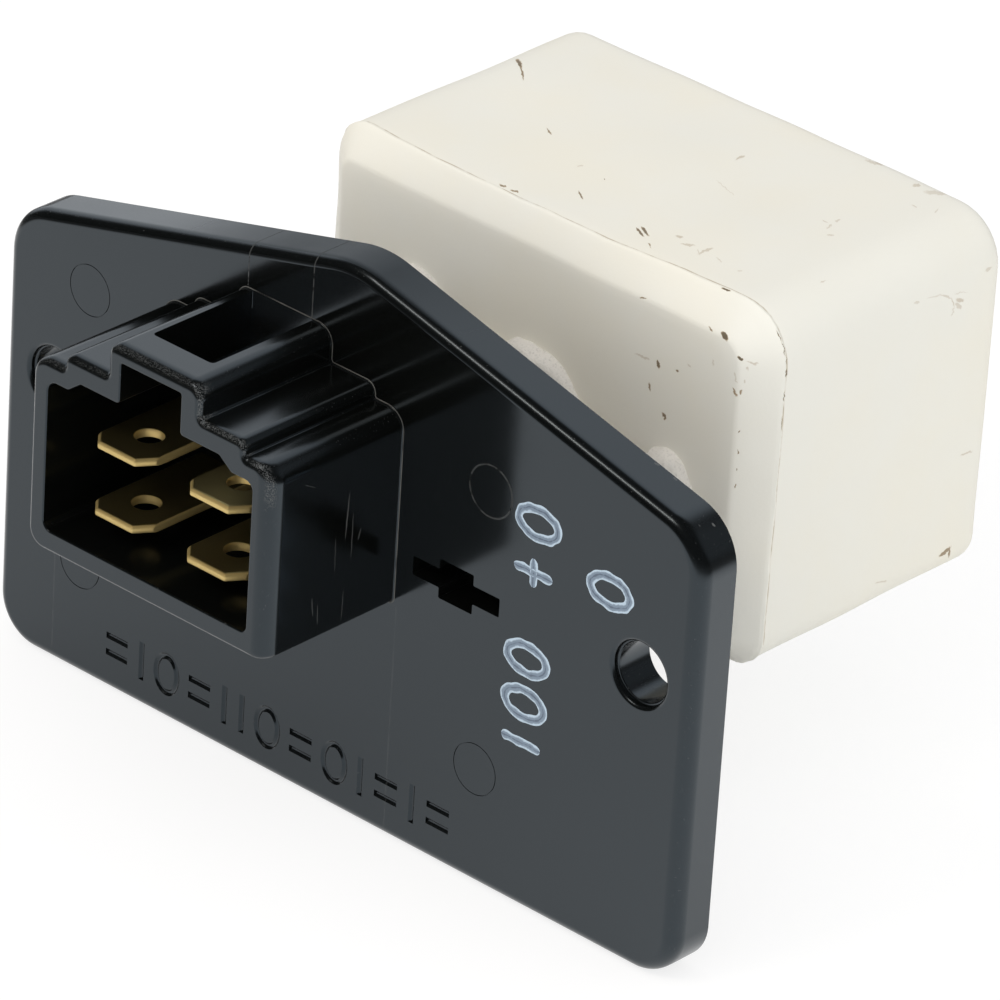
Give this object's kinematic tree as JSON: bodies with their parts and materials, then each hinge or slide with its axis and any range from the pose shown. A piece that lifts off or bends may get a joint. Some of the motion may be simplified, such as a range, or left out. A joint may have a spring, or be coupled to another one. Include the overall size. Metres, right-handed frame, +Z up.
{
  "type": "blower motor resistor",
  "caption": "Heater blower resistor: pentagonal moulded flange with a latched plug socket, flat brass blade terminals and a cast cement resistor block behind.",
  "frame": {"origin": "midway between the two screw holes, on the flange's seating face", "axes": "+X along the flange through both screw holes, to the right as seen from the plug side; +Y out of the seating face, into the air duct; +Z up, towards the flange's peak"},
  "size_m": [0.0772, 0.0677, 0.05],
  "materials": {
    "black_moulding": "black glossy moulded phenolic, finely speckled along its worn edges",
    "brass": "stamped brass strip, bright cut edges and duller flats",
    "cream_cement": "smooth cream cast cement with small dark pits and scuffs",
    "resistance_wire": "drawn nickel chrome wire, dull grey",
    "fuse_metal": "drawn metal can, satin",
    "fuse_resin": "cast resin, glossy and rounded",
    "tinned_lead": "tinned copper wire",
    "glass_sleeving": "braided glass sleeving",
    "crimp_metal": "plated crimp tube",
    "white_cement": "matt white sealing cement, lumpy"
  },
  "bodies": {
    "root": {"flange": "black_moulding", "terminal_upper_left": "brass", "terminal_upper_right": "brass", "terminal_lower_left": "brass", "terminal_lower_right": "brass", "resistor_block": "cream_cement", "coil_upper": "resistance_wire", "coil_middle": "resistance_wire", "coil_lower": "resistance_wire", "fuse_can": "fuse_metal", "fuse_seal": "fuse_resin", "fuse_lead_case": "tinned_lead", "fuse_lead_bent": "tinned_lead", "lead_sleeve": "glass_sleeving", "crimp_sleeve": "crimp_metal", "cement_left": "white_cement", "cement_middle": "white_cement", "cement_right": "white_cement"}
  },
  "joints": []
}
